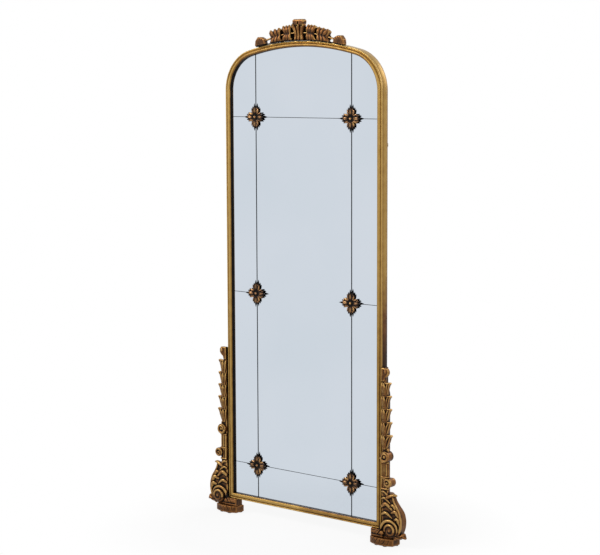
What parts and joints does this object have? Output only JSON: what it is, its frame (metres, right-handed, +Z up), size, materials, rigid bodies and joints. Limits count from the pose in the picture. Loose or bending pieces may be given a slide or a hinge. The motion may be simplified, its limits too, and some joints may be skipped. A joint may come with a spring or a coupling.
{
  "type": "floor mirror",
  "caption": "Tall arched floor mirror in an antique gold moulded frame: mirror plates pinned by leaf rosettes, a carved leaf crest, and scroll feet under husk-chain side pilasters.",
  "frame": {"origin": "on the floor under the middle of the mirror, half way through its overall depth", "axes": "+X to the viewer's right, +Y towards the wall behind, +Z up"},
  "size_m": [0.935, 0.0636, 1.848],
  "materials": {
    "gold_moulding": "rubbed antique gold leaf over a moulded wood frame",
    "carved_gold": "bronze gold over carving with dark wax in the hollows",
    "mirror_plate": "silvered float glass with lightly dulled edges",
    "bronze": "blackened bronze with rubbed copper-gold highlights",
    "black_board": "matt black painted board",
    "plated_steel": "zinc plated",
    "black_rubber": "matt",
    "dowel_wood": "plain beech",
    "felt": "dark felt"
  },
  "bodies": {
    "mirror": {"backing_board": "black_board", "board_clips": "plated_steel", "brace_screws": "plated_steel", "bracket_dowels": "dowel_wood", "clip_screws": "plated_steel", "corner_brace_left": "plated_steel", "corner_brace_right": "plated_steel", "crest": "carved_gold", "crest_angles": "plated_steel", "crest_screws": "plated_steel", "felt_pads": "felt", "foot_left": "carved_gold", "foot_right": "carved_gold", "frame_bottom_rail": "gold_moulding", "frame_head": "gold_moulding", "frame_stile_left": "gold_moulding", "frame_stile_right": "gold_moulding", "hanger_screws": "plated_steel", "hanger_strap_left": "plated_steel", "hanger_strap_right": "plated_steel", "head_dowels": "dowel_wood", "joint_dowels": "dowel_wood", "pane_bottom_centre": "mirror_plate", "pane_bottom_left": "mirror_plate", "pane_bottom_right": "mirror_plate", "pane_lower_centre": "mirror_plate", "pane_lower_left": "mirror_plate", "pane_lower_right": "mirror_plate", "pane_top_centre": "mirror_plate", "pane_top_left": "mirror_plate", "pane_top_right": "mirror_plate", "pane_upper_centre": "mirror_plate", "pane_upper_left": "mirror_plate", "pane_upper_right": "mirror_plate", "pilaster_left": "carved_gold", "pilaster_right": "carved_gold", "plinth_dowels": "dowel_wood", "plinth_left": "carved_gold", "plinth_right": "carved_gold", "rosette_bolts": "bronze", "rosette_bottom_left": "bronze", "rosette_bottom_right": "bronze", "rosette_middle_left": "bronze", "rosette_middle_right": "bronze", "rosette_nuts": "plated_steel", "rosette_top_left": "bronze", "rosette_top_right": "bronze", "setting_blocks": "black_rubber"},
    "ring_left": {"hanger_ring_left": "plated_steel"},
    "ring_right": {"hanger_ring_right": "plated_steel"}
  },
  "joints": [
    {"name": "ring_left_swing", "type": "hinge", "parent": "mirror", "child": "ring_left", "pos_m": [-0.3515, 0.029, 1.4155], "axis": [1, 0, 0], "range_deg": [0, 150]},
    {"name": "ring_right_swing", "type": "hinge", "parent": "mirror", "child": "ring_right", "pos_m": [0.3515, 0.029, 1.4155], "axis": [1, 0, 0], "range_deg": [0, 150]}
  ]
}
